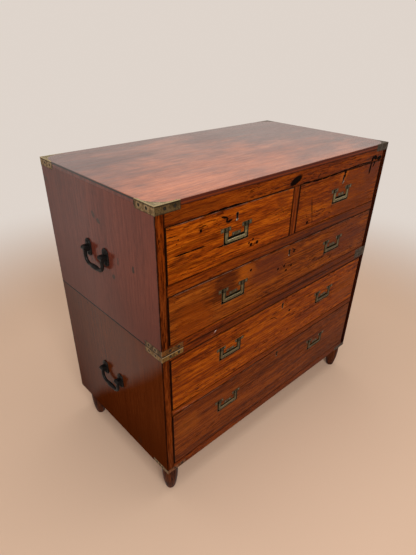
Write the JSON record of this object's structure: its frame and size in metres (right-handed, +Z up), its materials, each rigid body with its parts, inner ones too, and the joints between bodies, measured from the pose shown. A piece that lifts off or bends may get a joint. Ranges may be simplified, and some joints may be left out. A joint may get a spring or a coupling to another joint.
{
  "type": "campaign chest of drawers",
  "caption": "Two-section travelling chest with short and long drawers, flush brass pulls, brass corner straps, iron carrying handles and turned feet.",
  "frame": {"origin": "on the floor, under the middle of the chest", "axes": "+Z up, the drawer fronts face -Y, +X to the right seen from the front"},
  "size_m": [0.9526, 0.5015, 0.902],
  "materials": {
    "case_wood": "aged waxed hardwood",
    "top_wood": "aged polished hardwood",
    "drawer_front_wood": "aged waxed figured hardwood",
    "foot_wood": "dark turned hardwood",
    "lining_wood": "plain unpolished wood",
    "aged_brass": "dull aged brass",
    "dark_iron": "blackened iron",
    "steel": "dull steel"
  },
  "bodies": {
    "lower_section": {"lower_side_left": "case_wood", "lower_side_right": "case_wood", "lower_back": "lining_wood", "lower_lid": "case_wood", "lower_drawer_rail": "case_wood", "lower_floor": "case_wood", "lower_dustboard": "lining_wood", "lower_straps": "aged_brass", "lower_roses": "dark_iron", "feet": "foot_wood", "locating_pegs": "lining_wood"},
    "upper_section": {"upper_side_left": "case_wood", "upper_side_right": "case_wood", "upper_back": "lining_wood", "upper_top": "top_wood", "upper_top_rail": "case_wood", "upper_drawer_rail": "case_wood", "upper_floor": "case_wood", "upper_divider": "case_wood", "upper_dustboard": "lining_wood", "upper_kickers": "lining_wood", "upper_straps": "aged_brass", "upper_roses": "dark_iron"},
    "drawer_1": {"drawer_1_front": "drawer_front_wood", "drawer_1_box": "lining_wood", "drawer_1_bottom": "lining_wood", "drawer_1_brass": "aged_brass"},
    "pull_1": {"drawer_1_bail": "aged_brass"},
    "bolt_1": {"drawer_1_lock_bolt": "steel"},
    "drawer_2": {"drawer_2_front": "drawer_front_wood", "drawer_2_box": "lining_wood", "drawer_2_bottom": "lining_wood", "drawer_2_brass": "aged_brass"},
    "pull_2": {"drawer_2_bail": "aged_brass"},
    "bolt_2": {"drawer_2_lock_bolt": "steel"},
    "drawer_3": {"drawer_3_front": "drawer_front_wood", "drawer_3_box": "lining_wood", "drawer_3_bottom": "lining_wood", "drawer_3_brass": "aged_brass"},
    "pull_3_1": {"drawer_3_bail_1": "aged_brass"},
    "pull_3_2": {"drawer_3_bail_2": "aged_brass"},
    "bolt_3": {"drawer_3_lock_bolt": "steel"},
    "drawer_4": {"drawer_4_front": "drawer_front_wood", "drawer_4_box": "lining_wood", "drawer_4_bottom": "lining_wood", "drawer_4_brass": "aged_brass"},
    "pull_4_1": {"drawer_4_bail_1": "aged_brass"},
    "pull_4_2": {"drawer_4_bail_2": "aged_brass"},
    "bolt_4": {"drawer_4_lock_bolt": "steel"},
    "drawer_5": {"drawer_5_front": "drawer_front_wood", "drawer_5_box": "lining_wood", "drawer_5_bottom": "lining_wood", "drawer_5_brass": "aged_brass"},
    "pull_5_1": {"drawer_5_bail_1": "aged_brass"},
    "pull_5_2": {"drawer_5_bail_2": "aged_brass"},
    "bolt_5": {"drawer_5_lock_bolt": "steel"},
    "upper_carry_left": {"upper_handle_left": "dark_iron"},
    "upper_carry_right": {"upper_handle_right": "dark_iron"},
    "lower_carry_left": {"lower_handle_left": "dark_iron"},
    "lower_carry_right": {"lower_handle_right": "dark_iron"}
  },
  "joints": [
    {"name": "upper_section_lift", "type": "slide", "parent": "lower_section", "child": "upper_section", "axis": [0, 0, 1], "range_m": [0, 0.12]},
    {"name": "drawer_1_slide", "type": "slide", "parent": "upper_section", "child": "drawer_1", "axis": [0, -1, 0], "range_m": [0, 0.36]},
    {"name": "pull_1_hinge", "type": "hinge", "parent": "drawer_1", "child": "pull_1", "pos_m": [-0.22275, -0.248, 0.8], "axis": [-1, 0, 0], "range_deg": [0, 100]},
    {"name": "bolt_1_throw", "type": "slide", "parent": "drawer_1", "child": "bolt_1", "axis": [0, 0, 1], "range_m": [0, 0.008]},
    {"name": "drawer_2_slide", "type": "slide", "parent": "upper_section", "child": "drawer_2", "axis": [0, -1, 0], "range_m": [0, 0.36]},
    {"name": "pull_2_hinge", "type": "hinge", "parent": "drawer_2", "child": "pull_2", "pos_m": [0.22275, -0.248, 0.8], "axis": [-1, 0, 0], "range_deg": [0, 100]},
    {"name": "bolt_2_throw", "type": "slide", "parent": "drawer_2", "child": "bolt_2", "axis": [0, 0, 1], "range_m": [0, 0.008]},
    {"name": "drawer_3_slide", "type": "slide", "parent": "upper_section", "child": "drawer_3", "axis": [0, -1, 0], "range_m": [0, 0.36]},
    {"name": "pull_3_1_hinge", "type": "hinge", "parent": "drawer_3", "child": "pull_3_1", "pos_m": [-0.223, -0.248, 0.638], "axis": [-1, 0, 0], "range_deg": [0, 100]},
    {"name": "pull_3_2_hinge", "type": "hinge", "parent": "drawer_3", "child": "pull_3_2", "pos_m": [0.223, -0.248, 0.638], "axis": [-1, 0, 0], "range_deg": [0, 100]},
    {"name": "bolt_3_throw", "type": "slide", "parent": "drawer_3", "child": "bolt_3", "axis": [0, 0, 1], "range_m": [0, 0.008]},
    {"name": "drawer_4_slide", "type": "slide", "parent": "lower_section", "child": "drawer_4", "axis": [0, -1, 0], "range_m": [0, 0.36]},
    {"name": "pull_4_1_hinge", "type": "hinge", "parent": "drawer_4", "child": "pull_4_1", "pos_m": [-0.223, -0.248, 0.453], "axis": [-1, 0, 0], "range_deg": [0, 100]},
    {"name": "pull_4_2_hinge", "type": "hinge", "parent": "drawer_4", "child": "pull_4_2", "pos_m": [0.223, -0.248, 0.453], "axis": [-1, 0, 0], "range_deg": [0, 100]},
    {"name": "bolt_4_throw", "type": "slide", "parent": "drawer_4", "child": "bolt_4", "axis": [0, 0, 1], "range_m": [0, 0.008]},
    {"name": "drawer_5_slide", "type": "slide", "parent": "lower_section", "child": "drawer_5", "axis": [0, -1, 0], "range_m": [0, 0.36]},
    {"name": "pull_5_1_hinge", "type": "hinge", "parent": "drawer_5", "child": "pull_5_1", "pos_m": [-0.223, -0.248, 0.255], "axis": [-1, 0, 0], "range_deg": [0, 100]},
    {"name": "pull_5_2_hinge", "type": "hinge", "parent": "drawer_5", "child": "pull_5_2", "pos_m": [0.223, -0.248, 0.255], "axis": [-1, 0, 0], "range_deg": [0, 100]},
    {"name": "bolt_5_throw", "type": "slide", "parent": "drawer_5", "child": "bolt_5", "axis": [0, 0, 1], "range_m": [0, 0.008]},
    {"name": "upper_carry_left_hinge", "type": "hinge", "parent": "upper_section", "child": "upper_carry_left", "pos_m": [-0.47, 0, 0.717], "axis": [0, 1, 0], "range_deg": [-5, 150]},
    {"name": "upper_carry_right_hinge", "type": "hinge", "parent": "upper_section", "child": "upper_carry_right", "pos_m": [0.47, 0, 0.717], "axis": [0, -1, 0], "range_deg": [-5, 150]},
    {"name": "lower_carry_left_hinge", "type": "hinge", "parent": "lower_section", "child": "lower_carry_left", "pos_m": [-0.47, 0, 0.318], "axis": [0, 1, 0], "range_deg": [-5, 150]},
    {"name": "lower_carry_right_hinge", "type": "hinge", "parent": "lower_section", "child": "lower_carry_right", "pos_m": [0.47, 0, 0.318], "axis": [0, -1, 0], "range_deg": [-5, 150]}
  ]
}
